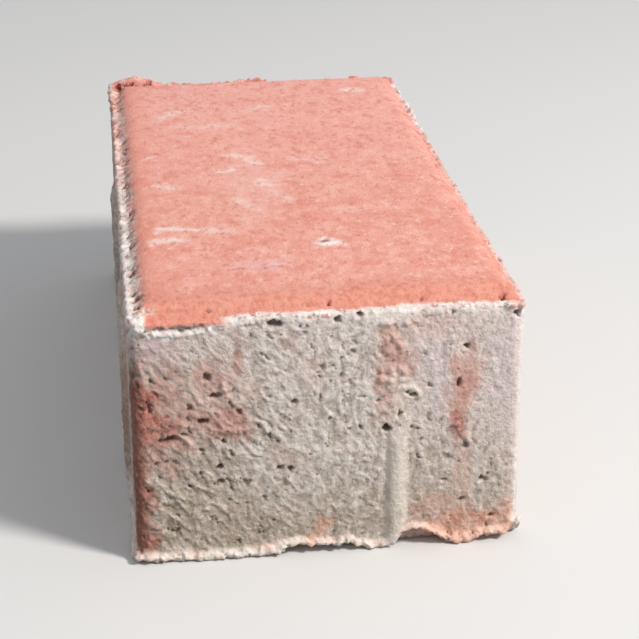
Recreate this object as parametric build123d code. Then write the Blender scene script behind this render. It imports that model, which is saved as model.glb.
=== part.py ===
from build123d import *
import math
import os

# A vibro-pressed concrete paving stone with a coloured wearing face, cast as one piece.
# X runs across its width, Y along its length and Z up from the bed face, in millimetres.
# The origin is the middle of the bed face. The two headers look along -Y and +Y.

# What one stone takes up in the laid surface, its share of the joints included
laying_length = 200
laying_width = 100
stone_height = 70
joint_width = 2

# Upright corners, rounded as the mould box is
corner_radius = 3

# The arris that the press head forms round the wearing face, and the narrow land outside it,
# where the head clears the wall of the mould
arris_width = 9
arris_drop = 4
land_width = 1.5

# Spacer nibs stand out of the sides by one joint, so that they bear on the next stone's plain face
nib_crest_width = 4
nib_flank_run = 1.5
nib_crest_radius = 0.8
nib_top_below_face = 9
nib_lead_height = 7

# Each header has one nib, off its middle, and each long side a pair. A half turn about Z brings
# the pattern back on itself, so the nibs of two stones that lie face to face miss each other
header_nib_from_middle = 17
side_nib_spacing = 80
side_nib_pair_from_middle = 13

# Mortar squeezed out in the press and left on: a fin that stands on the land, in line with the
# sides, where the head met the box, and a lip round the foot, where the box met its board
fin_thickness = 0.8
fin_height = 1.6
fin_edge_radius = 0.25
lip_reach = 1.2
lip_height = 2.5

body_length = laying_length - joint_width
body_width = laying_width - joint_width
nib_top = stone_height - nib_top_below_face
land_height = stone_height - arris_drop


def pressed_section(width):
    """Upright section of the body: plain sides, the land, and an arris that curves into the top."""
    side = width / 2
    arris_foot_x = side - land_width
    arris_top_x = arris_foot_x - arris_width
    arris_radius = (arris_width ** 2 + arris_drop ** 2) / (2 * arris_drop)
    with BuildSketch(Plane.XZ) as section:
        with BuildLine():
            bed = Line((0, 0), (side, 0))
            face = Line(bed @ 1, (side, land_height))
            land = Line(face @ 1, (arris_foot_x, land_height))
            arris = RadiusArc(land @ 1, (arris_top_x, stone_height), -arris_radius)
            top = Line(arris @ 1, (0, stone_height))
            Line(top @ 1, bed @ 0)
        make_face()
        mirror(about=Plane.YZ)
    return section.sketch


def body_plan(outside=0):
    """Plan of the body, or of a line that runs round it at that distance outside its sides."""
    return RectangleRounded(body_width + 2 * outside, body_length + 2 * outside, corner_radius + outside)


def pressed_body():
    """The block without its nibs: its two upright sections cross, so the arrises meet in mitres."""
    lengthways = extrude(pressed_section(body_width), amount=body_length / 2, both=True)
    crossways = extrude(Rot(0, 0, 90) * pressed_section(body_length), amount=body_width / 2, both=True)
    return lengthways & crossways & extrude(body_plan(), amount=stone_height)


def head_fin():
    """The fin round the land, with its crest eased. It runs as deep in the block, to fuse with it."""
    ring = extrude(body_plan() - body_plan(-fin_thickness), amount=2 * fin_height)
    ring = fillet(ring.edges().group_by(Axis.Z)[-1], fin_edge_radius)
    return Pos(0, 0, land_height - fin_height) * ring


def foot_lip():
    """The lip round the foot: widest on the board, and gone where it meets the sides."""
    slope = math.degrees(math.atan2(lip_reach, lip_height))
    return extrude(body_plan(lip_reach), amount=lip_height, taper=slope)


def spacer_nib():
    """One nib for a face that looks along -Y and lies at Y = 0: a ridge up from the bed face,
    tapered at its top to lead in. Behind the face it runs on into the body, to fuse with it."""
    crest = nib_crest_width / 2
    root = crest + nib_flank_run
    inside = root
    with BuildSketch() as ridge:
        with BuildLine():
            Polyline(
                (-root, inside), (-root, 0), (-crest, -joint_width),
                (crest, -joint_width), (root, 0), (root, inside), close=True,
            )
        make_face()
        fillet(ridge.vertices().group_by(Axis.Y)[0], nib_crest_radius)
    with BuildSketch(Plane.YZ) as lead:
        with BuildLine():
            Polyline(
                (-joint_width, nib_top - nib_lead_height), (0, nib_top), (-joint_width, nib_top), close=True,
            )
        make_face()
    return extrude(ridge.sketch, amount=nib_top) - extrude(lead.sketch, amount=root, both=True)


def spacer_nibs():
    """The front header's nib and the right-hand side's pair, and the same again half a turn on."""
    header_nib = Pos(header_nib_from_middle, -body_length / 2, 0) * spacer_nib()
    side_nibs = [
        Pos(body_width / 2, side_nib_pair_from_middle + offset, 0) * Rot(0, 0, 90) * spacer_nib()
        for offset in (-side_nib_spacing / 2, side_nib_spacing / 2)
    ]
    front_and_right = [header_nib, *side_nibs]
    back_and_left = [Rot(0, 0, 180) * nib for nib in front_and_right]
    return front_and_right + back_and_left


paving_stone = pressed_body().fuse(head_fin(), foot_lip(), *spacer_nibs()).clean()

os.makedirs("parts", exist_ok=True)
export_step(paving_stone, "parts/paving_stone.step")
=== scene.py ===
import bmesh
import bpy
import math
import random
from mathutils import Matrix, Vector, kdtree, noise


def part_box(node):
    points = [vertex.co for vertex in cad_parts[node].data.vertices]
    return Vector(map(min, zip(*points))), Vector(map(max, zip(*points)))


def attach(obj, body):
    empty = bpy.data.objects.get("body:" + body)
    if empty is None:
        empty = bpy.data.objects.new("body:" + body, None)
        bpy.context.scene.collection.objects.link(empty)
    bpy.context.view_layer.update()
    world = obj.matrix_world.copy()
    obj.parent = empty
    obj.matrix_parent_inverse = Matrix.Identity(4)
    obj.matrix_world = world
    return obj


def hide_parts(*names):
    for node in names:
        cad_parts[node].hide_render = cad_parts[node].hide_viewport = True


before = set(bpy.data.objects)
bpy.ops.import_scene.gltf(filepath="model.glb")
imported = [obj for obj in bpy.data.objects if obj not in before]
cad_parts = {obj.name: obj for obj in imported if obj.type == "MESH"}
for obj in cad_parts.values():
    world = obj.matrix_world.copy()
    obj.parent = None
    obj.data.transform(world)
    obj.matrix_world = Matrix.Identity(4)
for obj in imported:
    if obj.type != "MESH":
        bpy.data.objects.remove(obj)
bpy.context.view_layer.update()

# The body is pressed from earth-dry concrete in a steel box: plain upright sides with small rounded
# corners, and a press head that leaves a flat wearing face with a soft arris round it. Between the
# arris and the side there is a narrow land, where the head clears the box.
mm = 0.001
_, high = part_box("paving_stone")
joint = 2 * mm
half_width = high.x - joint
half_length = high.y - joint
front = -half_length
stone_height = high.z
corner_radius = 3 * mm
land_width = 1.5 * mm
arris_width = 9 * mm
arris_drop = 4 * mm
land_height = stone_height - arris_drop
arris_steps = 6


def body_of_concrete():
    """The block and its arris, drawn up from the land in rings that follow the arris's arc."""
    block = bmesh.new()
    size = (2 * half_width, 2 * half_length, land_height)
    place = Matrix.Translation((0, 0, land_height / 2)) @ Matrix.Diagonal((*size, 1))
    bmesh.ops.create_cube(block, size=1, matrix=place)
    upright = [e for e in block.edges if abs(e.verts[0].co.z - e.verts[1].co.z) > land_height / 2]
    top = [max(block.faces, key=lambda face: face.calc_center_median().z)]
    bmesh.ops.inset_region(block, faces=top, thickness=land_width)
    radius = (arris_width ** 2 + arris_drop ** 2) / (2 * arris_drop)
    last_in, last_up = 0, 0
    for step in range(1, arris_steps + 1):
        inwards = arris_width * step / arris_steps
        upwards = math.sqrt(radius ** 2 - (arris_width - inwards) ** 2) - (radius - arris_drop)
        bmesh.ops.inset_region(block, faces=top, thickness=inwards - last_in)
        bmesh.ops.translate(block, verts=top[0].verts, vec=(0, 0, upwards - last_up))
        last_in, last_up = inwards, upwards
    bmesh.ops.bevel(
        block, geom=upright, offset=corner_radius, segments=3, profile=0.5, affect="EDGES", material=-1,
    )
    return block


cast = body_of_concrete()

# Spacer nibs are upright ridges that the mould box forms on the sides, one on each header and two
# on each long side. They keep the joint open, and they taper off below the wearing face. The front
# header's nib is worn, and torn off half way up.
nib_crest_width = 2 * mm
nib_root_width = 7 * mm
nib_reach = 1.8 * mm
nib_edge_radius = 0.8 * mm
nib_top = stone_height - 9 * mm
nib_lead_height = 7 * mm
nib_root_depth = 1 * mm
torn_nib_top = 37 * mm
torn_nib_root_width = 5.6 * mm
torn_nib_reach = 1.3 * mm
header_nib_from_middle = 17 * mm
side_nib_places = (-27 * mm, 53 * mm)


def add_nib(block, place, top_height=nib_top, root_width=nib_root_width, reach=nib_reach):
    """A slab through the side, narrower and lower towards its crest, pressed on as one with the block."""
    nib = bmesh.new()
    bmesh.ops.create_cube(nib, size=1)
    for v in nib.verts:
        out = reach if v.co.y < 0 else -nib_root_depth
        width = root_width - (root_width - nib_crest_width) * out / reach
        top = top_height - nib_lead_height * out / reach
        v.co = Vector((math.copysign(width / 2, v.co.x), -out, top if v.co.z > 0 else 0))
    crest = [e for e in nib.edges if all(v.co.y < 0 for v in e.verts)]
    bmesh.ops.bevel(
        nib, geom=[e for e in crest if abs(e.verts[0].co.z - e.verts[1].co.z) > nib_lead_height],
        offset=nib_edge_radius, segments=3, profile=0.5, affect="EDGES", material=-1,
    )
    bmesh.ops.transform(nib, matrix=place, verts=nib.verts)
    held = bpy.data.meshes.new("nib")
    nib.to_mesh(held)
    block.from_mesh(held)
    nib.free()
    bpy.data.meshes.remove(held)


for half_turn in (0, math.pi):
    turned = Matrix.Rotation(half_turn, 4, "Z")
    on_face = turned @ Matrix.Translation((header_nib_from_middle, front, 0))
    if half_turn:
        add_nib(cast, on_face)
    else:
        add_nib(cast, on_face, torn_nib_top, torn_nib_root_width, torn_nib_reach)
    for place in side_nib_places:
        quarter = Matrix.Rotation(math.pi / 2, 4, "Z")
        add_nib(cast, turned @ Matrix.Translation((half_width, place, 0)) @ quarter)

# Fin and lip are mortar squeezed out while the stone is pressed: a ragged fin that stands on the
# land round the arris, and a crumbly lip round the foot of the sides. Both are left as they break,
# and crumbs of the same mortar cling to the corners and to the header.
seed = 41
chance = random.Random(seed)
noise.seed_set(seed)
crumb_step = 0.7 * mm
crumbs_at_once = 40
crumbs = []


def crumb(place, size, flat=1.0):
    """One crumb at a place in metres, of a half size in mm, flattened upwards or not."""
    uneven = [chance.uniform(0.8, 1.25) for _ in range(3)]
    crumbs.append((place, Vector((size * uneven[0], size * uneven[1], size * flat * uneven[2])) * mm))


def press_on(block):
    """Presses the crumbs on: small uneven balls, in batches because one by one is slow."""
    held = bpy.data.meshes.new("crumbs")
    for first in range(0, len(crumbs), crumbs_at_once):
        batch = bmesh.new()
        for centre, radii in crumbs[first:first + crumbs_at_once]:
            turned = Matrix.Rotation(chance.uniform(0, math.tau), 4, "Z") @ Matrix.Diagonal((*radii, 1))
            ball = bmesh.ops.create_icosphere(batch, subdivisions=2, radius=1, matrix=turned)["verts"]
            for v in ball:
                v.co = centre + v.co * chance.uniform(0.88, 1.12)
        batch.to_mesh(held)
        batch.free()
        block.from_mesh(held)
    bpy.data.meshes.remove(held)


def rim(inset, sides="front right back left"):
    """Steps along the named sides, that distance in from them: each side's name, a place, the way out."""
    x, y = half_width - inset, half_length - inset
    runs = {
        "front": ((-x, -y), (x, -y), (0, -1)), "right": ((x, -y), (x, y), (1, 0)),
        "back": ((x, y), (-x, y), (0, 1)), "left": ((-x, y), (-x, -y), (-1, 0)),
    }
    for side in sides.split():
        start, end, out = (Vector(value) for value in runs[side])
        steps = int((end - start).length / crumb_step)
        for step in range(steps):
            yield side, start.lerp(end, (step + chance.random()) / steps).to_3d(), out.to_3d()


# The fin, with how tall it stands on each side in mm. At the back it is taller towards the left, and
# it broke off along a stretch of the front.
fin_inset = 0.65 * mm
fin_heights = {"front": 1.4, "right": 1.7, "left": 2.0}
tall_back_fin, low_back_fin = 3.0, 2.3
chipped_from, chipped_to = -45 * mm, -25 * mm
chip_slope = 6 * mm
for side, point, out in rim(fin_inset):
    if side == "front" and chipped_from < point.x < chipped_to:
        continue
    wave = noise.noise(point * 160) + 0.7 * noise.noise(point * 520)
    if side == "back":
        height = (tall_back_fin if point.x < 5 * mm else low_back_fin) + 1.1 * wave
    else:
        height = fin_heights[side] * (0.85 + 0.8 * wave)
    thick = 1
    if side == "front" and point.x > -20 * mm or side == "right" and point.y < 30 * mm:
        height, thick = 0.75 * height, 0.7
    if side == "front" and chipped_to < point.x < chipped_to + chip_slope:
        height *= 0.3 + 0.7 * (point.x - chipped_to) / chip_slope
    if height > 0.4:
        point += out * chance.uniform(-0.3, 0.25) * mm
        point.z = land_height + (height / 2 - 0.4) * mm
        crumb(point, thick * chance.uniform(0.5, 0.85), flat=(height / 2 + 0.4) / 0.7)

# Looser lumps in rows inside the fin, most of them on the left and at the front left corner
lump_chances = {"left": 0.8, "right": 0.16, "back": 0.3}
lump_insets = (1.9, 3.0, 3.9)
for inset in lump_insets:
    for side, point, out in rim(inset * mm, "left right back"):
        corner = max(0, 1 - (point - Vector((-half_width, front, 0))).length / (30 * mm))
        if side != "left" and (inset > 3 or noise.noise(point * 260) < -0.25):
            continue
        if chance.random() < lump_chances[side] / (0.4 + 0.5 * inset) + 0.3 * corner:
            point += out * chance.uniform(-0.7, 0.7) * mm
            point.z = land_height + (chance.uniform(-0.2, 0.35) + 0.42 * inset) * mm
            crumb(point, chance.uniform(0.5, 1.4 - 0.15 * inset + 0.4 * corner), flat=0.8)
for side, point, out in rim(1.6 * mm, "front"):
    if point.x < chipped_from and chance.random() < 0.7:
        point.z = land_height + chance.uniform(0.6, 1.4) * mm
        crumb(point, chance.uniform(0.8, 1.3))

# The mortar curled up round the back left corner: a wall that is highest a little way along the
# back, and loose lumps inside it
heap_steps = 64
for step in range(heap_steps):
    share = step / (heap_steps - 1)
    along_back = 26 * share - 4
    if along_back < 0:
        spot = Vector((-48.4, 98.2 + 3.0 * along_back, 0))
    else:
        spot = Vector((-48.4 + along_back, 98.2, 0))
    wall = 4.1 * math.exp(-((along_back - 8) / 9) ** 2)
    for level in (0.3, 0.65, 1.0):
        spot.z = 66.4 + wall * level
        scatter = Vector((chance.uniform(-0.5, 0.5), chance.uniform(-0.5, 0.5), 0))
        crumb((spot + scatter) * mm, chance.uniform(0.8, 1.25))
    if along_back > 0 and chance.random() < 0.5:
        inner = Vector((spot.x, 94.2 + chance.uniform(-1.0, 1.0), 67.3 + 0.25 * wall))
        crumb(inner * mm, chance.uniform(0.7, 1.2))

# The lip round the foot
for side, point, out in rim(0):
    wave = noise.noise(point * 120 + Vector((7, 3, 1)))
    if side == "front" or wave > -0.3:
        reach = 1.15 + 0.45 * wave
        point += out * chance.uniform(-0.4, 0.35) * mm
        point.z = chance.uniform(0.8, 1.5) * mm
        crumb(point, reach, flat=0.95)

# Ridges and lumps that stuck to the header: start and end as (across, up) and half size, in mm
stuck_ridges = [
    ((-33.1, 47.4), (-32.0, 44.2), 0.5), ((-26.6, 49.3), (-23.7, 41.0), 0.6),
    ((-20.3, 38.2), (-12.4, 33.8), 0.5), ((-12.6, 41.3), (-9.2, 38.5), 0.5),
    ((-11.4, 22.4), (-10.2, 21.6), 0.9), ((-40.1, 13.8), (-37.8, 8.3), 0.5),
    ((-41.2, 3.6), (-38.4, 1.2), 0.7), ((-27.5, 36.2), (-20.5, 36.6), 0.8),
    ((-37.0, 38.6), (-33.0, 37.8), 0.8), ((18.2, 45.3), (20.6, 45.5), 0.8),
    ((20.6, 45.5), (22.6, 42.6), 0.8), ((15.2, 40.5), (15.6, 46.5), 0.9),
    ((16.6, 33.6), (18.8, 37.8), 1.2), ((13.2, 63.6), (15.4, 62.8), 1.0),
    ((18.5, 62.6), (21.5, 63.4), 0.8), ((23.5, 65.6), (34.4, 65.9), 0.7),
    ((43.5, 66.2), (48.0, 65.6), 0.8), ((-22.0, 65.4), (-15.0, 66.0), 0.8),
    ((31.6, 34.5), (34.6, 30.8), 0.7), ((33.4, 47.2), (31.6, 44.4), 0.6),
    # below the place where the fin broke off
    ((-46.5, 64.6), (-43.0, 63.5), 0.9), ((-43.0, 63.5), (-38.5, 63.2), 0.8),
    ((-38.5, 63.2), (-33.5, 62.8), 0.8), ((-33.5, 62.8), (-30.5, 63.6), 0.8),
    ((-30.5, 63.6), (-25.5, 65.2), 0.7), ((-36.0, 62.0), (-35.0, 61.0), 0.7),
]
for (start_x, start_z), (end_x, end_z), size in stuck_ridges:
    start, end = Vector((start_x, 0, start_z)) * mm, Vector((end_x, 0, end_z)) * mm
    for step in range(max(2, round((end - start).length / (0.45 * mm)))):
        spot = start.lerp(end, chance.random())
        spot += Vector((chance.uniform(-0.25, 0.25), 0, chance.uniform(-0.25, 0.25))) * mm
        spot.y = front + 0.35 * size * mm
        crumb(spot, size * chance.uniform(0.75, 1.1))

# What is left above the torn nib: crumbs scattered wider towards the top
torn_column = 14.6
torn_column_crumbs = 90
for _ in range(torn_column_crumbs):
    higher = chance.random()
    aside = chance.gauss(1.2 * higher, 1.2 + 1.4 * higher)
    inwards = chance.uniform(0.25, 0.65)
    spot = Vector((torn_column + aside, front / mm + inwards, 36 + 25 * higher)) * mm
    crumb(spot, chance.uniform(0.5, 0.95), flat=1.4)
press_on(cast)

# Block, nibs and mortar set into one piece: the shapes above are remade as a single closed skin
skin_step = 0.43 * mm
set_mesh = bpy.data.meshes.new("set_concrete")
cast.to_mesh(set_mesh)
cast.free()
blank = bpy.data.objects.new("set_concrete", set_mesh)
bpy.context.scene.collection.objects.link(blank)
fuse = blank.modifiers.new("fuse", "REMESH")
fuse.mode = "VOXEL"
fuse.voxel_size = skin_step
skin = bpy.data.meshes.new_from_object(blank.evaluated_get(bpy.context.evaluated_depsgraph_get()))
bpy.data.objects.remove(blank)
places = [v.co.copy() for v in skin.vertices]


def rise(value, start, end):
    """0 before start, 1 past end, smooth between."""
    share = min(1, max(0, (value - start) / (end - start)))
    return share * share * (3 - 2 * share)


def along_line(points, value):
    """Height of a bent line of (along, up) points at a place along it."""
    for (x0, z0), (x1, z1) in zip(points, points[1:]):
        if value <= x1:
            return z0 + (z1 - z0) * max(0, (value - x0) / (x1 - x0))
    return points[-1][1]


# The foot broke unevenly when the stone was lifted off its board: how far up the lower edge of the
# header stands, as (across, up) in mm, how deep the break runs in, and how high the skin above it
# is squeezed. Heights before the break are kept, for the bloom along the foot.
foot_of_header = [
    (-49, 0.8), (-46, 0.6), (-35, 0.0), (-17, 0.0), (-12, 1.3), (-8, 2.7), (-5, 2.0), (2, 1.7), (5, 2.4),
    (8, 0.7), (10.5, 0.0), (14, 0.0), (16.5, 1.6), (18.6, 4.2), (21.3, 5.6), (23.3, 5.2), (26.7, 3.2),
    (29.7, 1.2), (32.7, 0.0), (36, 0.2), (38.4, 1.4), (42, 2.0), (45, 1.4), (47, 2.4), (49, 5.0),
]
break_run = 4 * mm
squeezed_below = 12 * mm
above_foot = []

for co in places:
    above_foot.append(co.z)
    nearest = min(half_width - abs(co.x), half_length - abs(co.y))
    if co.z < squeezed_below and nearest < break_run:
        header_share = rise(-co.y, half_length - break_run, half_length)
        jagged = 0.5 * noise.noise(co * 700) + 0.3 * noise.noise(co * 1500)
        lift = max(0, along_line(foot_of_header, co.x / mm) + jagged) * header_share
        loose = 3.2 * (noise.noise(Vector((co.x, co.y, 0)) * 70) + 0.4 * noise.noise(co * 330) - 0.12)
        lift = max(lift, max(0, loose) * rise(nearest, break_run, 0) * (1 - header_share))
        co.z += lift * mm * (1 - co.z / squeezed_below)
    nib_share = min(1, max(0, front - co.y) / mm)
    if nib_share > 0 and co.z < torn_nib_top:
        waver = 0.6 * noise.noise(Vector((0, 3, 80 * co.z)))
        flutter = 0.25 * noise.noise(Vector((0, 3, 330 * co.z)))
        co.x += nib_share * mm * (waver + flutter)

# Pores and torn holes, where air was caught against the box or a stone was plucked out. Each is a
# hollow cut back into the skin, along the way that the mortar was lost.
into_front = Vector((0, 1, 0))
downwards = Vector((0, 0, -1))
front_hollows = [
    # centre on the header as (across, up) and half sizes as (across, in, up), in mm
    ((-13.4, 64.4), (2.2, 2.0, 1.0)), ((2.1, 64.6), (1.0, 1.4, 0.9)), ((7.4, 65.8), (0.8, 1.2, 0.6)),
    ((46.5, 63.9), (1.4, 1.5, 0.9)), ((34.1, 55.9), (0.9, 1.2, 0.8)), ((24.8, 45.6), (0.8, 1.2, 1.0)),
    ((5.8, 56.2), (0.7, 0.9, 0.5)), ((-1.7, 52.0), (0.6, 0.8, 0.7)), ((3.0, 49.8), (0.5, 0.8, 0.9)),
    ((8.0, 43.7), (1.1, 0.9, 0.4)), ((14.3, 34.5), (1.0, 2.2, 0.9)), ((17.5, 38.2), (0.6, 1.0, 1.1)),
    ((20.9, 43.4), (1.2, 1.5, 0.6)), ((19.6, 44.1), (0.8, 1.1, 0.5)), ((22.3, 33.8), (0.8, 1.0, 0.6)),
    ((20.6, 34.4), (0.5, 0.9, 0.6)),
    ((33.9, 12.7), (0.9, 1.2, 0.7)), ((39.0, 18.2), (1.1, 1.2, 0.8)), ((29.2, 18.7), (0.6, 0.9, 0.5)),
    ((12.3, 42.2), (0.9, 1.2, 0.7)), ((34.4, 28.2), (0.9, 1.2, 1.0)), ((32.4, 45.8), (0.5, 1.0, 1.4)),
    ((40.5, 19.6), (0.7, 0.9, 0.5)), ((41.8, 7.4), (0.9, 1.1, 0.6)), ((-31.4, 39.3), (1.3, 1.9, 1.0)),
    ((-39.9, 34.7), (1.4, 1.8, 0.9)), ((-41.6, 34.4), (0.9, 1.0, 0.6)), ((-38.3, 35.0), (1.3, 1.1, 0.5)),
    ((-36.2, 35.9), (1.2, 0.9, 0.4)),
    ((-43.4, 28.2), (0.9, 0.8, 0.4)), ((-40.6, 28.7), (1.1, 0.7, 0.4)), ((-38.7, 28.4), (0.8, 0.6, 0.4)),
    ((-27.6, 26.2), (1.3, 1.5, 0.7)), ((-12.7, 25.2), (0.9, 1.5, 0.9)), ((-9.9, 24.6), (0.6, 1.0, 0.9)),
    ((-8.8, 43.4), (0.7, 1.0, 0.7)), ((-28.4, 46.2), (1.6, 1.5, 0.9)), ((-30.2, 51.2), (1.0, 1.3, 1.0)),
    ((-23.8, 47.5), (0.5, 0.8, 0.9)), ((-14.9, 34.3), (0.7, 1.0, 0.6)), ((-17.8, 37.4), (0.7, 1.0, 0.6)),
    ((-27.3, 22.4), (1.0, 1.0, 0.6)), ((-35.1, 21.5), (0.7, 0.9, 0.6)), ((-26.5, 33.6), (0.8, 1.3, 0.5)),
    ((-22.5, 41.4), (1.0, 1.2, 0.6)), ((-34.6, 43.2), (0.7, 1.0, 0.9)), ((-44.6, 44.0), (0.6, 1.0, 1.6)),
    ((-41.5, 64.7), (1.6, 0.7, 0.5)), ((-37.6, 64.6), (1.8, 0.8, 0.5)), ((-34.4, 64.4), (1.4, 0.7, 0.5)),
    ((-35.8, 63.9), (0.7, 1.0, 0.6)), ((-31.8, 64.8), (1.2, 0.6, 0.4)),
]
hollows = [
    (Vector((x, front / mm, z)) * mm, Vector(sizes) * mm, into_front) for (x, z), sizes in front_hollows
]


def strew_hollows(count, out, size):
    """Small pores strewn over the side that looks that way."""
    reach = Vector((-out.y * (half_width - corner_radius), out.x * (half_length - corner_radius), 0))
    for _ in range(count):
        sideways = reach * chance.uniform(-1, 1)
        centre = Vector((out.x * half_width, out.y * half_length, chance.uniform(3, 64) * mm)) + sideways
        wide = chance.uniform(*size) * mm
        hollows.append((centre, Vector((wide, wide, wide * chance.uniform(0.5, 1.6))), -out))


strew_hollows(24, Vector((0, 1, 0)), (0.5, 1.5))
strew_hollows(44, Vector((-1, 0, 0)), (0.5, 1.6))
strew_hollows(44, Vector((1, 0, 0)), (0.5, 1.6))

# Pits inside the fin, further in on the left, and in the mortar heaped at the back left corner
pit_inset = 2.6 * mm
pit_chances = {"front": 0.025, "right": 0.18, "back": 0.18, "left": 0.12}
for side, point, out in rim(pit_inset):
    if chance.random() < pit_chances[side]:
        point += out * chance.uniform(-1.6 if side == "left" else -0.4, 0.9) * mm
        point.z = land_height + chance.uniform(1.2, 2.2) * mm
        wide = chance.uniform(0.5, 1.1) * mm
        hollows.append((point, Vector((wide, wide, 1.5 * wide)), downwards))
placed_pits = [
    # centre as (across, along) and half size, in mm
    ((-45.6, 94.6), 1.5), ((-42.6, 96.4), 1.3), ((-39.6, 95.2), 1.8), ((-36.2, 96.4), 1.4),
    ((-33.2, 95.6), 1.2), ((-46.4, 90.4), 1.2), ((-29.8, 96.3), 1.0), ((-47.4, 75.6), 1.2),
    ((-47.3, 55), 1.1), ((-46.0, 36), 1.3), ((-46.2, -6.4), 1.2), ((-46.4, -33), 1.0),
    ((-47.0, -70.6), 1.4), ((-46.2, -88), 1.6), ((-46.6, -93.4), 1.2),
]
heap_pits = [
    # centre as (across, up) and half size, in mm, on the side of the heap that looks to the front
    ((-46.2, 68.4), 1.2), ((-41.8, 69.3), 1.2), ((-36.4, 69.0), 1.3), ((-30.4, 68.3), 0.9),
]
for (x, z), size in heap_pits:
    hollows.append((Vector((x, 96.5, z)) * mm, Vector((size, 1.8, 0.8 * size)) * mm, into_front))
for (x, y), size in placed_pits:
    centre = Vector((x, y, 69.2 if y > 85 else 68.2)) * mm
    hollows.append((centre, Vector((size, size, 2.0)) * mm, downwards))

# Each place inside a hollow goes back to the hollow's wall, and how far it went is kept
depth = [0.0] * len(places)
tree = kdtree.KDTree(len(places))
for index, co in enumerate(places):
    tree.insert(co, index)
tree.balance()
for centre, radii, inwards in hollows:
    step = Vector([inwards[i] / radii[i] for i in range(3)])
    for co, index, _ in tree.find_range(centre, max(radii) * 1.5):
        bent = co + 0.5 * mm * noise.noise_vector(co * 900)
        away = bent - centre
        local = Vector([away[i] / radii[i] for i in range(3)])
        ragged = 1 + 0.45 * noise.noise(co * 1100)
        if local.length < ragged:
            square, half = step.dot(step), local.dot(step)
            run = (math.sqrt(half ** 2 - square * (local.dot(local) - ragged ** 2)) - half) / square
            depth[index] = max(depth[index], min(1, 0.8 * run * inwards.length / mm))
            places[index] = places[index] + inwards * run
skin.vertices.foreach_set("co", [c for place in places for c in place])
skin.update()

# The skin of the sides is torn and dragged as the box is pulled off: a crust of thin winding ridges
# and grains, sunk in places, that leans on the left of the header and is drawn upright in its middle.
# The wearing face is close and nearly smooth, the bed face shows the grain of the board.


def winding(place, shift):
    """1 along thin winding lines, falling to 0 between them. Each shift gives other lines."""
    return max(0, 1 - 3.4 * abs(noise.noise(place + Vector((shift, shift, shift))))) ** 2


def crust(co, lean):
    """Ridges, grains and voids of skin that was dragged along a line with that lean."""
    if half_width - abs(co.x) > half_length - abs(co.y):
        drawn = Vector((co.x + lean * co.z, co.y, 0.6 * co.z))
    else:
        drawn = Vector((co.x, co.y + lean * co.z, 0.6 * co.z))
    bent = drawn + 0.9 * mm * noise.noise_vector(co * 280)
    ridges = 0.24 * winding(bent * 330, 2) + 0.20 * winding(bent * 640, 9)
    grain = 0.20 * noise.noise(bent * 600) + 0.14 * noise.noise(co * 1250)
    void = noise.noise(bent * 640 + Vector((5, 5, 5))) + 0.5 * noise.noise(co * 1700)
    return ridges + grain - 0.13, void


def skin_relief(co, normal):
    """How far the skin stands out at a place, how much of it is void and how much ridge."""
    wearing = rise(co.z, land_height - 0.5 * mm, land_height + 1.0 * mm) * rise(normal.z, 0.2, 0.7)
    if wearing == 1:
        return 0.06 * mm * noise.noise(co * 45) + 0.02 * mm * noise.noise(co * 200), 0, 0
    if normal.z < -0.8:
        return 0.14 * mm * noise.noise(Vector((co.x, 0.3 * co.y, 0)) * 130) - 0.15 * mm, 0, 0
    on_header = co.y < front + 3 * mm
    leaning = 1 - rise(co.x, -14 * mm, 0) if on_header else 0
    form, void = crust(co, 0.5 if leaning else 0)
    if 0 < leaning < 1:
        other_form, other_void = crust(co, 0)
        form = other_form + (form - other_form) * leaning
        void = other_void + (void - other_void) * leaning
    rough = 0.95 + 0.9 * noise.noise(co * 42)
    if on_header:
        rough += 0.15 * rise(co.x, 0, -25 * mm) - 0.45 * rise(co.z + 0.6 * co.x, 35 * mm, 75 * mm)
        beside_nib = abs(co.x - header_nib_from_middle)
        rough *= 1 - 0.8 * rise(beside_nib, 3.6 * mm, 2.2 * mm) * rise(co.z, torn_nib_top, 34 * mm)
    rough = max(0.2, rough) * (1 - 0.75 * rise(co.z, land_height, land_height + 1.2 * mm))
    swell = 0.22 * mm * noise.noise(co * 30) + 0.16 * mm * noise.noise(co * 130)
    void = rise(void + 0.24 * noise.noise(co * 55), 0.46, 0.78)
    side = swell + rough * (form * mm - 0.5 * mm * void)
    if on_header:
        upright = rise(abs(co.x - 4 * mm), 12 * mm, 6 * mm) * rise(co.z, 26 * mm, 38 * mm)
        side += 0.17 * mm * upright * noise.noise(Vector((co.x * 760, 0, co.z * 90)))
    plain_share = 1 - wearing
    return side * plain_share, min(1, rough) * void * plain_share, form * min(1.2, rough) * plain_share


normals = [n.vector.copy() for n in skin.vertex_normals]
standing = [0.0] * len(places)
for index, (co, normal) in enumerate(zip(places, normals)):
    out, void, standing[index] = skin_relief(co, normal)
    co += normal * out
    depth[index] = max(depth[index], void)
skin.vertices.foreach_set("co", [c for place in places for c in place])
skin.update()
for name, values in (("hollow", depth), ("standing", standing), ("above_foot", above_foot)):
    skin.attributes.new(name, "FLOAT", "POINT").data.foreach_set("value", values)

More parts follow.
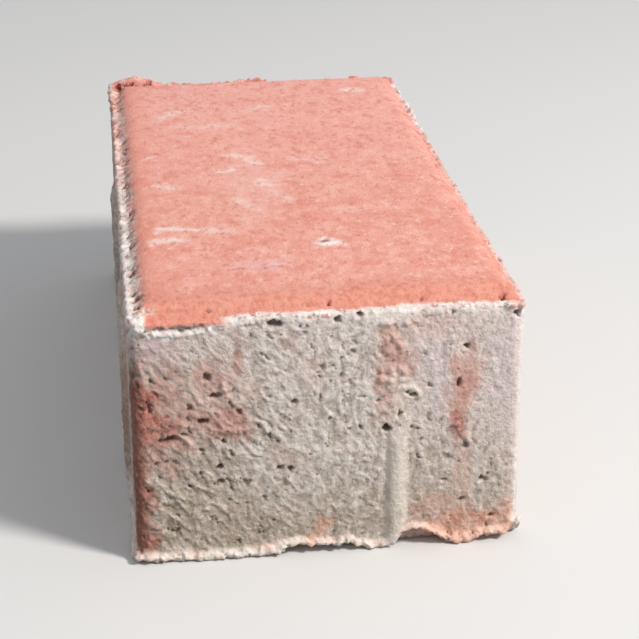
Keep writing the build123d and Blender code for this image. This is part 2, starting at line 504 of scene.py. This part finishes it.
# Thinned to a mesh that can be stored. The front keeps the most of its detail, the fin on the left
# and at the back nearly as much, and the bed and the wearing face the least.
most_triangles = 197000
dense = bpy.data.objects.new("dense_stone", skin)
bpy.context.scene.collection.objects.link(dense)
plain = dense.vertex_groups.new(name="plain")
behind = [i for i, co in enumerate(places) if co.y > front + 4 * mm]
plain.add(behind, 0.3, "REPLACE")
plain.add([i for i in behind if places[i].z < 1 * mm or normals[i].z > 0.9], 1.0, "REPLACE")
lumpy = [
    i for i in behind if places[i].z > land_height - 1 * mm
    and (places[i].x < -half_width + 8 * mm or places[i].y > half_length - 4 * mm)
]
plain.add(lumpy, 0.02, "REPLACE")
thin = dense.modifiers.new("thin", "DECIMATE")
thin.ratio = most_triangles / (2 * len(skin.polygons))
thin.vertex_group = "plain"
thin.vertex_group_factor = 0.00005
stone_mesh = bpy.data.meshes.new_from_object(dense.evaluated_get(bpy.context.evaluated_depsgraph_get()))
bpy.data.objects.remove(dense)
stone_mesh.name = "stone"
for v in stone_mesh.vertices:
    v.co.z = max(0, v.co.z)
stone_mesh.shade_smooth()
stone = bpy.data.objects.new("stone", stone_mesh)
bpy.context.scene.collection.objects.link(stone)

# The concrete: a thin facing coloured with red iron oxide over a grey body, both matt. Lime has
# bloomed white on the fin, the lip and the edges, and red slurry has run down and stained the sides.
finish = bpy.data.materials.new("red_faced_concrete")
finish.use_nodes = True
nodes = finish.node_tree.nodes
wires = finish.node_tree.links
nodes.clear()


def feed(socket, value):
    """Sets a socket, or joins it to another node's output."""
    if isinstance(value, bpy.types.NodeSocket):
        wires.new(value, socket)
    else:
        socket.default_value = value


def number(operation, *values, clamp=False):
    """One sum on numbers or on other nodes' outputs."""
    made = nodes.new("ShaderNodeMath")
    made.operation = operation
    made.use_clamp = clamp
    for socket, value in zip(made.inputs, values):
        feed(socket, value)
    return made.outputs[0]


def vectors(operation, *values, scale=None, output="Vector"):
    """One sum on vectors or on other nodes' outputs, which gives a vector or a number."""
    made = nodes.new("ShaderNodeVectorMath")
    made.operation = operation
    for socket, value in zip(made.inputs, values):
        feed(socket, value)
    if scale is not None:
        feed(made.inputs["Scale"], scale)
    return made.outputs[output]


def grains(scale, detail=2.0, roughness=0.5, vector=None):
    """Smooth noise on the object's own coordinates, scale in lumps per metre."""
    made = nodes.new("ShaderNodeTexNoise")
    feed(made.inputs["Vector"], vector or place_on_stone)
    made.inputs["Scale"].default_value = scale
    made.inputs["Detail"].default_value = detail
    made.inputs["Roughness"].default_value = roughness
    return made.outputs["Fac"]


def between(value, start, end):
    """0 to 1 as value goes from start to end, which may fall."""
    made = nodes.new("ShaderNodeMapRange")
    made.interpolation_type = "SMOOTHSTEP"
    feed(made.inputs["Value"], value)
    made.inputs["From Min"].default_value = start
    made.inputs["From Max"].default_value = end
    return made.outputs["Result"]


def tinting(scale):
    """Three noises at once, for three tints that don't keep together."""
    made = nodes.new("ShaderNodeTexNoise")
    feed(made.inputs["Vector"], place_on_stone)
    made.inputs["Scale"].default_value = scale
    made.inputs["Detail"].default_value = 3
    parts = nodes.new("ShaderNodeSeparateColor")
    feed(parts.inputs[0], made.outputs["Color"])
    return parts.outputs


def times(*values):
    """The product of all the values."""
    product = values[0]
    for value in values[1:]:
        product = number("MULTIPLY", product, value)
    return product


def blend(share, first, second):
    """First colour to second by a share of 0 to 1."""
    made = nodes.new("ShaderNodeMix")
    made.data_type = "RGBA"
    feed(made.inputs["Factor"], share)
    for name, value in (("A", first), ("B", second)):
        socket = next(s for s in made.inputs if s.name == name and s.type == "RGBA")
        feed(socket, (*value, 1) if isinstance(value, tuple) else value)
    return next(s for s in made.outputs if s.type == "RGBA")


def mottled(base, *tints):
    """A colour drawn towards tints, each as a value, its start and end, how far to go and the tint."""
    for value, start, end, far, tint in tints:
        base = blend(times(between(value, start, end), far), base, tint)
    return base


def joined(x, y, z):
    """Three numbers as one vector."""
    made = nodes.new("ShaderNodeCombineXYZ")
    for socket, value in zip(made.inputs, (x, y, z)):
        feed(socket, value)
    return made.outputs[0]


axes = nodes.new("ShaderNodeSeparateXYZ")
feed(axes.inputs[0], nodes.new("ShaderNodeTexCoord").outputs["Object"])
across, along, up = axes.outputs
place_on_stone = joined(across, along, up)
from_side = number(
    "MINIMUM",
    number("SUBTRACT", half_width, number("ABSOLUTE", across)),
    number("SUBTRACT", half_length, number("ABSOLUTE", along)),
)


def stored(name):
    """A value that was stored on the skin."""
    made = nodes.new("ShaderNodeAttribute")
    made.attribute_name = name
    return made.outputs["Fac"]


hollow_here = stored("hollow")
standing_here = stored("standing")
foot_here = stored("above_foot")

# Coordinates that lean with the drag marks of the header, and ones drawn out along the stone, and
# the grains that several colours share
lean = times(between(across, 10 * mm, -24 * mm), 0.55)
dragged = joined(number("ADD", across, times(lean, up)), along, times(up, 0.65))
fine = grains(1500, 4, 0.65)
middling = grains(620, 3, 0.6)
streaks = grains(700, 3, 0.6, dragged)
lengthways = joined(across, times(along, 0.65), up)
face_sand = grains(560, 3, 0.65, lengthways)
face_fine = grains(1300, 3, 0.6, lengthways)
face_lumps = grains(230, 3, 0.6, lengthways)
lumps = grains(230, 3, 0.6)
patchy = grains(75, 4, 0.6)
cloudy = grains(24, 2)
tints = tinting(800)
ragged = times(number("SUBTRACT", grains(160, 5, 0.75), 0.5), 2.6)

# Coordinates pushed about by noise, for stains without straight edges
push = Vector((1, 1, 1)) * 7 * mm
nudge = vectors("MULTIPLY_ADD", joined(*tinting(210)), push, -push / 2)
place_nudged = vectors("ADD", place_on_stone, nudge)


def blot(place, half_sizes):
    """1 in the middle of a stain, falling to 0 at its ragged edge. Place and half sizes are in mm."""
    shrink = [1 / (size * mm) for size in half_sizes]
    shift = [-p / size for p, size in zip(place, half_sizes)]
    distance = vectors("LENGTH", vectors("MULTIPLY_ADD", place_nudged, shrink, shift), output="Value")
    return between(number("ADD", distance, ragged), 1.25, 0.35)


def blots(stains):
    """Several stains as one share, each given as a place, half sizes and how strong it is."""
    share = 0
    for place, half_sizes, strength in stains:
        share = number("MAXIMUM", share, times(blot(place, half_sizes), strength))
    return share


def on_header(*stains):
    """Stains on the header, each as (across, up), (half across, half up) and strength."""
    face = front / mm
    return blots([((x, face, z), (wide, 6, tall), strength) for (x, z), (wide, tall), strength in stains])


def on_top(*stains):
    """Marks on the wearing face, each as (across, along), (half across, half along) and strength."""
    top = stone_height / mm
    return blots([((x, y, top), (wide, long, 3), strength) for (x, y), (wide, long), strength in stains])


def strokes(*scuffs):
    """Scrapes on the wearing face, each as a start, an end and a half width in mm, and how strong it is."""
    frayed = times(number("SUBTRACT", grains(300, 3, 0.6, lengthways), 0.5), 3.2)
    share = 0
    for start, end, half, strength in scuffs:
        run = Vector((end[0] - start[0], end[1] - start[1], 0)) * mm
        from_start = vectors("SUBTRACT", place_on_stone, (start[0] * mm, start[1] * mm, stone_height))
        reached = vectors("DOT_PRODUCT", from_start, run / run.length_squared, output="Value")
        nearest_on_run = vectors("SCALE", run, scale=number("ADD", reached, 0, clamp=True))
        off = vectors("DISTANCE", from_start, nearest_on_run, output="Value")
        distance = number("ADD", times(off, 1 / (half * mm)), frayed)
        share = number("MAXIMUM", share, times(between(distance, 1.6, -0.3), strength))
    return share


# The red face: mottled, with dark and pale sand in it, scuffed pale in places, with a painted shade along
# the left arris and a painted shadow beside a chip
red = blend(between(patchy, 0.35, 0.65), (0.86, 0.35, 0.27), (0.90, 0.42, 0.335))
red = mottled(
    red, (along, -60 * mm, 80 * mm, 0.55, (1.0, 0.49, 0.43)),
    (face_lumps, 0.50, 0.66, 0.6, (0.96, 0.51, 0.425)), (face_lumps, 0.49, 0.33, 0.6, (0.78, 0.285, 0.21)),
    (face_sand, 0.44, 0.31, 0.6, (0.62, 0.21, 0.15)), (face_sand, 0.56, 0.69, 0.6, (0.98, 0.63, 0.55)),
    (face_fine, 0.42, 0.30, 0.45, (0.50, 0.16, 0.11)),
    # painted shade: the left arris drawn darker and redder, as it looks away from the lamp
    (across, -36 * mm, -42 * mm, 0.4, (0.86, 0.32, 0.235)),
)
front_arris = times(between(along, front + 14 * mm, front + 5 * mm), 0.7)
arris_colour = blend(between(middling, 0.34, 0.58), (0.62, 0.20, 0.13), (0.80, 0.325, 0.235))
red = blend(front_arris, red, arris_colour)
scraped = strokes(
    ((-39.8, -48.5), (-37.7, -45.1), 1.3, 0.9), ((-37.7, -45.1), (-29.0, -46.8), 1.7, 1.0),
    ((-41.1, -57.4), (-38.5, -54.2), 1.5, 0.9), ((-38.5, -54.2), (-33.2, -53.7), 2.4, 1.0),
    ((-14.3, 14.2), (-10.5, 12.3), 2.2, 1.0), ((-10.5, 12.3), (-7.3, 5.1), 2.0, 0.85),
    ((-18.8, 0.1), (-15.8, 1.0), 1.8, 0.9), ((-9.1, -12.8), (-4.6, -13.4), 2.2, 0.85),
    ((-7.5, -9.0), (-4.2, -11.0), 1.5, 0.7), ((-37.3, -10.6), (-32.6, -12.5), 2.2, 0.85),
    ((-26.4, -47.8), (-21.8, -48.4), 2.8, 0.6), ((-33.5, 55.1), (-28.1, 60.7), 2.6, 0.55),
    ((-7.4, 57.8), (0.7, 63.2), 2.0, 0.55), ((-25.9, 44.2), (-14.1, 43.8), 2.8, 0.45),
    ((-15.7, -26.5), (-11.4, -33.0), 2.6, 0.5), ((-40.5, 13.8), (-36.5, 17.3), 1.0, 0.6),
    ((29.4, 78.0), (33.6, 78.0), 2.6, 1.0), ((2.0, 9.0), (12.0, 6.0), 2.6, 0.4),
    ((-4.0, -20.0), (-2.0, -27.0), 2.4, 0.35), ((10.0, -35.0), (14.0, -36.5), 2.4, 0.3),
)
rubbed = on_top(((-11.0, -14.0), (10.0, 34.0), 0.35))
red = blend(times(rubbed, between(middling, 0.3, 0.5)), red, (0.94, 0.62, 0.54))
red = blend(times(scraped, between(face_sand, 0.34, 0.5)), red, (0.97, 0.74, 0.68))
chip = strokes(((3.8, -62.0), (6.4, -61.6), 2.6, 1.0), ((3.2, -59.0), (4.2, -56.5), 0.9, 0.7))
red = blend(times(chip, between(face_sand, 0.3, 0.42)), red, (1.0, 0.93, 0.88))
chip_shadow = strokes(((3.4, -60.2), (4.6, -59.4), 0.8, 0.9))
red = blend(chip_shadow, red, (0.36, 0.14, 0.10))
bruise = strokes(((-20.6, -74.8), (-14.0, -73.6), 3.2, 0.4), ((-13.0, -75.2), (-8.2, -74.0), 2.6, 0.55))
red = blend(times(bruise, between(face_sand, 0.34, 0.5)), red, (0.86, 0.62, 0.68))

# The grey sides: lilac and pale above, greener and darker low on the left, and sand shows everywhere.
# The ridges carry a painted highlight, and the skin between them a painted shade.
grey = blend(between(cloudy, 0.35, 0.65), (0.65, 0.54, 0.475), (0.75, 0.64, 0.585))
low_left = times(
    between(number("ADD", up, times(across, 0.25)), 44 * mm, 4 * mm), between(patchy, 0.15, 0.5),
)
grey = blend(times(low_left, 0.82), grey, (0.46, 0.38, 0.28))
high_up = times(
    between(number("ADD", up, times(across, 0.35)), 30 * mm, 68 * mm), between(lumps, 0.2, 0.45),
)
grey = blend(times(high_up, 0.78), grey, (1.0, 0.85, 0.83))
grey = mottled(grey, (patchy, 0.5, 0.72, 0.5, (0.84, 0.73, 0.66)))
middle = times(
    between(number("ABSOLUTE", number("ADD", across, 4 * mm)), 26 * mm, 10 * mm),
    between(lumps, 0.3, 0.5), between(up, 6 * mm, 26 * mm),
)
grey = blend(times(middle, 0.62), grey, (0.86, 0.83, 0.79))
grey = mottled(
    grey, (tints[0], 0.52, 0.66, 0.5, (0.85, 0.60, 0.53)),
    (tints[1], 0.52, 0.66, 0.5, (0.52, 0.49, 0.39)), (tints[2], 0.53, 0.66, 0.5, (0.92, 0.84, 0.78)),
    # painted shade between the ridges of the skin, and a painted highlight on them
    (standing_here, 0.02, -0.22, 0.6, (0.40, 0.33, 0.26)),
    (standing_here, 0.06, 0.30, 0.6, (0.90, 0.81, 0.74)),
    (streaks, 0.45, 0.31, 0.4, (0.38, 0.30, 0.26)), (middling, 0.41, 0.29, 0.5, (0.30, 0.21, 0.17)),
    (fine, 0.44, 0.30, 0.4, (0.28, 0.21, 0.18)), (fine, 0.57, 0.71, 0.45, (0.95, 0.88, 0.83)),
)

# Red slurry: placed on the header as it ran there, strewn over the sides that look away
not_header = between(along, front + 2 * mm, front + 6 * mm)
runs = between(grains(48, 3, 0.6, joined(across, along, times(up, 0.22))), 0.54, 0.68)
smear = between(number("ADD", up, times(ragged, 6 * mm)), 55 * mm, 63 * mm)
strewn = times(not_header, number("MAXIMUM", times(runs, 0.6), times(smear, 0.55)))
red_runs = on_header(
    ((-46.0, 43), (5.4, 16), 1.0), ((-47.8, 22), (4.6, 24), 0.9), ((-47.4, 4), (4.6, 9), 0.9),
    ((-41.5, 36), (7, 7), 0.75), ((-42.0, 48), (6, 9), 0.5), ((-32, 39), (7, 5), 0.5),
    ((-22.5, 38), (4.5, 5.5), 0.6), ((-40, 27), (5, 3), 0.4), ((-29, 50), (5, 5), 0.4),
    ((-22.0, 57), (2.0, 9), 0.55), ((-12, 27), (4, 7), 0.2), ((32.8, 34), (2.6, 7), 0.85),
    ((33.2, 45), (3.0, 7), 0.55), ((35.2, 57), (1.6, 2.4), 0.6), ((-9.4, 58.7), (3, 3), 0.3),
    ((20.4, 52), (1.4, 3.6), 0.4), ((12.6, 48), (1.6, 9), 0.45), ((15.5, 55), (5, 6), 0.35),
    ((-4.0, 1.6), (1.6, 1.4), 0.8),
)
pink = on_header(
    ((15.2, 54), (6.0, 11), 0.7), ((14.8, 41), (3.2, 6), 0.6), ((34.2, 46), (4.6, 15), 0.8),
    ((34, 20), (3.0, 12), 0.4), ((-27, 45), (11, 12), 0.4), ((25, 62), (9, 5), 0.4),
    ((-42, 60), (8, 6), 0.35), ((-4, 52), (4, 8), 0.2), ((-38, 40), (9, 12), 0.4),
)
pinkish = blend(times(pink, between(fine, 0.2, 0.45)), grey, (0.82, 0.51, 0.425))
stain = number("MAXIMUM", red_runs, strewn)
stain_colour = blend(between(middling, 0.36, 0.62), (0.28, 0.085, 0.06), (0.63, 0.235, 0.175))
# a painted highlight on the ridges under the stains
stain_colour = mottled(stain_colour, (standing_here, 0.05, 0.30, 0.35, (0.72, 0.42, 0.34)))
broken_up = times(between(fine, 0.22, 0.56), between(streaks, 0.22, 0.42))
body = blend(times(stain, number("ADD", times(broken_up, 0.7), 0.3)), pinkish, stain_colour)
# Painted shade: the header darkened to a deep red-brown along its rounded left corner, below the top
shaded_left_corner = times(
    between(across, -half_width + 4 * mm, -half_width + 0.8 * mm),
    between(along, front + 4 * mm, front + 2 * mm),
    between(number("ADD", up, times(ragged, 3 * mm)), 60 * mm, 52 * mm),
)
body = blend(times(shaded_left_corner, 0.7), body, (0.22, 0.085, 0.065))
# Lilac: painted skylit shade at the top of the header's left corner, and the concrete's own lilac tint on
# the right
lilac_tint_and_shade = on_header(((-43, 60.5), (8, 5), 0.45), ((26, 52), (5, 14), 0.3), ((44, 50), (5, 18), 0.3))
body = blend(lilac_tint_and_shade, body, (0.72, 0.60, 0.65))
orange = on_header(
    ((33, 2), (14, 10), 1.0), ((45, 5), (6, 7), 0.8), ((-1.0, 9.0), (1.8, 2.6), 0.7),
    ((-2.6, 6.2), (1.8, 2.6), 0.9), ((-4.2, 3.2), (2.0, 2.6), 1.0), ((27, 10), (8, 6), 0.45),
)
orange_colour = blend(between(middling, 0.36, 0.62), (0.68, 0.32, 0.23), (0.86, 0.53, 0.42))
body = blend(orange, body, orange_colour)
# The nib is paler mortar, and the paling is also painted light that lifts the shade on its left flank
pale_nib_and_light = on_header(
    ((17.0, 14), (3.2, 27), 0.8), ((20.5, 44.5), (3.4, 2.2), 0.6), ((17.5, 38), (2.4, 5), 0.6),
)
body = blend(times(pale_nib_and_light, between(fine, 0.25, 0.45)), body, (0.84, 0.76, 0.66))

# Lime bloom along the edges, with a painted highlight down the header's right edge and a painted shadow
# under the ledge where the fin broke off
uneven = times(ragged, 2.4 * mm)
at_foot = between(number("ADD", foot_here, uneven), 4.2 * mm, 2.0 * mm)
lip_bloom = times(at_foot, between(from_side, 1.0 * mm, 0.2 * mm))
lip_colour = blend(between(lumps, 0.35, 0.6), (0.90, 0.66, 0.57), (0.95, 0.86, 0.79))
body = blend(times(lip_bloom, 0.85), body, blend(times(orange, 0.8), lip_colour, (0.90, 0.52, 0.39)))
ragged_across = number("ADD", across, times(ragged, 2 * mm))
chipped = times(
    between(across, chipped_from, chipped_from + 1 * mm),
    between(ragged_across, chipped_to + 2 * mm, chipped_to - 3 * mm),
    between(along, front + 3 * mm, front + 2 * mm),
)
lowered = number("ADD", number("ADD", up, times(uneven, 0.7)), times(chipped, 2.0 * mm))
edge_bloom = times(
    between(lowered, land_height - 2.6 * mm, land_height - 0.2 * mm), between(patchy, 0.28, 0.5),
)
# Painted highlight: a pale band down the header's rounded right edge, which faces the lamp, in the colour
# of the bloom
right_edge_highlight = times(
    between(across, half_width - 2.5 * mm, half_width - 0.6 * mm),
    between(along, front + 4 * mm, front + 1 * mm),
)
body = blend(times(number("MAXIMUM", edge_bloom, right_edge_highlight), 0.85), body, (0.92, 0.84, 0.80))
# Painted shadow: a grey-brown line under the ledge where the fin broke off
above_ledge = number("ADD", up, times(uneven, 0.2))
ledge_shadow = times(chipped, between(above_ledge, land_height - 1.9 * mm, land_height - 1.2 * mm))
body = blend(times(ledge_shadow, 0.8), body, (0.50, 0.31, 0.24))

# A line of lime on the ridge below the place where the fin broke off
lime_line = on_header(
    ((-46.3, 64.9), (1.8, 1.5), 1.0), ((-42.6, 63.7), (3.2, 1.1), 1.0), ((-38.0, 63.2), (3.4, 1.0), 1.0),
    ((-33.6, 62.9), (3.0, 1.0), 0.9), ((-30.2, 63.8), (2.4, 1.0), 0.8),
)
body = blend(times(lime_line, between(fine, 0.28, 0.42)), body, (0.97, 0.91, 0.875))

# The fin and its lumps: white at the front, red where the facing ran over them further back
facing_ran = between(number("ADD", along, times(ragged, 60 * mm)), -60 * mm, 60 * mm)
fin_colour = blend(between(lumps, 0.4, 0.6), (0.80, 0.69, 0.64), (0.91, 0.85, 0.80))
fin_pink = blend(between(lumps, 0.42, 0.58), (0.78, 0.35, 0.28), (0.92, 0.62, 0.55))
fin_colour = blend(times(facing_ran, 0.85), fin_colour, fin_pink)
on_left = between(across, -half_width + 8 * mm, -half_width + 5 * mm)
inner_left = times(on_left, between(number("ADD", from_side, times(uneven, 0.4)), 2.0 * mm, 3.4 * mm))
inner_colour = blend(between(middling, 0.40, 0.56), (0.46, 0.17, 0.12), (0.92, 0.58, 0.50))
fin_colour = blend(times(inner_left, 0.7), fin_colour, inner_colour)
on_right = between(across, half_width - 4 * mm, half_width - 3 * mm)
right_front = times(on_right, between(number("ADD", along, times(ragged, 30 * mm)), 45 * mm, 15 * mm))
fin_colour = blend(times(right_front, 0.6), fin_colour, (0.78, 0.40, 0.33))
right_back = times(on_right, between(number("ADD", along, times(ragged, 30 * mm)), 25 * mm, 45 * mm))
fin_colour = blend(times(right_back, 0.75), fin_colour, (0.86, 0.76, 0.75))
at_back = between(along, half_length - 6 * mm, half_length - 4 * mm)
back_colour = blend(between(lumps, 0.44, 0.58), (0.70, 0.26, 0.20), (0.90, 0.52, 0.45))
outer_rim = between(number("ADD", from_side, times(uneven, 0.2)), 1.3 * mm, 0.7 * mm)
outer_rim = times(outer_rim, between(across, -24 * mm, -32 * mm))
back_colour = blend(times(outer_rim, 0.85), back_colour, (0.94, 0.72, 0.65))
fin_colour = blend(times(at_back, 0.9), fin_colour, back_colour)
fin_colour = mottled(fin_colour, (middling, 0.46, 0.32, 0.8, (0.50, 0.19, 0.14)))
wide_rim = times(between(number("ADD", from_side, times(uneven, 0.9)), 4.8 * mm, 3.6 * mm), on_left)
narrow_rim = between(number("ADD", from_side, times(uneven, 0.4)), 2.0 * mm, 1.4 * mm)
outside_face = times(number("MAXIMUM", wide_rim, narrow_rim), number("SUBTRACT", 1, chipped))
above_land = between(up, land_height - 1.2 * mm, land_height - 0.2 * mm)
colour = blend(above_land, body, blend(outside_face, red, fin_colour))

# Painted shade in the voids: darker the deeper they are, dark red where they lie in the facing and dark
# brown below
in_facing = between(up, 65.6 * mm, 67 * mm)
void_shade = blend(in_facing, (0.13, 0.085, 0.065), (0.32, 0.085, 0.065))
colour = blend(times(hollow_here, 0.8), colour, void_shade)

surface = nodes.new("ShaderNodeBsdfPrincipled")
feed(surface.inputs["Base Color"], colour)
feed(surface.inputs["Roughness"], number("ADD", 0.80, times(patchy, 0.2)))
bump = nodes.new("ShaderNodeBump")
bump.inputs["Strength"].default_value = 0.8
bump.inputs["Distance"].default_value = 0.35 * mm
sandy = number("ADD", fine, number("ADD", middling, times(streaks, number("SUBTRACT", 1, above_land))))
feed(bump.inputs["Height"], sandy)
feed(surface.inputs["Normal"], bump.outputs["Normal"])
result = nodes.new("ShaderNodeOutputMaterial")
feed(result.inputs["Surface"], surface.outputs["BSDF"])

stone.data.materials.append(finish)
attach(stone, "root")
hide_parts("paving_stone")

# A plain pale floor, with one lamp that rakes from the upper right as the sun does, and soft light
# from all round. The floor is pale to the camera and darker in what it throws back on the stone.
floor_reach = 6
floor_mesh = bmesh.new()
bmesh.ops.create_grid(floor_mesh, x_segments=1, y_segments=1, size=floor_reach)
floor_data = bpy.data.meshes.new("floor")
floor_mesh.to_mesh(floor_data)
floor_mesh.free()
floor = bpy.data.objects.new("floor", floor_data)
bpy.context.scene.collection.objects.link(floor)

paint = bpy.data.materials.new("floor")
paint.use_nodes = True
shader = paint.node_tree.nodes["Principled BSDF"]
shader.inputs["Roughness"].default_value = 0.9
seen = paint.node_tree.nodes.new("ShaderNodeLightPath")
tone = paint.node_tree.nodes.new("ShaderNodeMix")
tone.data_type = "RGBA"
tone_inputs = [s for s in tone.inputs if s.type == "RGBA"]
tone_inputs[0].default_value = (0.35, 0.34, 0.33, 1)
tone_inputs[1].default_value = (0.80, 0.79, 0.78, 1)
paint.node_tree.links.new(seen.outputs["Is Camera Ray"], tone.inputs["Factor"])
paint.node_tree.links.new(next(s for s in tone.outputs if s.type == "RGBA"), shader.inputs["Base Color"])
floor_data.materials.append(paint)

world = bpy.data.worlds.new("soft_light")
world.use_nodes = True
world.node_tree.nodes["Background"].inputs["Color"].default_value = (0.93, 0.96, 1.0, 1)
world.node_tree.nodes["Background"].inputs["Strength"].default_value = 0.45
bpy.context.scene.world = world

lamp_from = Vector((0.58, -0.45, 0.68)).normalized()
lamp_distance = 1.6
middle_of_stone = Vector((0, 0, 0.04))
lamp_data = bpy.data.lights.new("raking_lamp", "AREA")
lamp_data.shape = "DISK"
lamp_data.size = 0.30
lamp_data.energy = 22
lamp_data.color = (1.0, 0.97, 0.93)
lamp = bpy.data.objects.new("raking_lamp", lamp_data)
lamp.location = middle_of_stone + lamp_from * lamp_distance
lamp.rotation_mode = "QUATERNION"
lamp.rotation_quaternion = lamp_from.to_track_quat("Z", "Y")
bpy.context.scene.collection.objects.link(lamp)

# The camera stands where the photograph was taken from, seen from the stone, and looks at the top
# edge of the front header.
eye = Vector((-51.5, -478, 233.6)) * mm
looked_at = Vector((-2.5, -99, 65.1)) * mm
roll = math.radians(-0.17)
view = bpy.data.cameras.new("camera")
view.lens = 97.4
view.sensor_width = 36
camera = bpy.data.objects.new("camera", view)
camera.location = eye
camera.rotation_mode = "QUATERNION"
aimed = (looked_at - eye).to_track_quat("-Z", "Y")
camera.rotation_quaternion = aimed @ Matrix.Rotation(roll, 4, "Z").to_quaternion()
bpy.context.scene.collection.objects.link(camera)
bpy.context.scene.camera = camera
bpy.context.scene.view_settings.view_transform = "Standard"
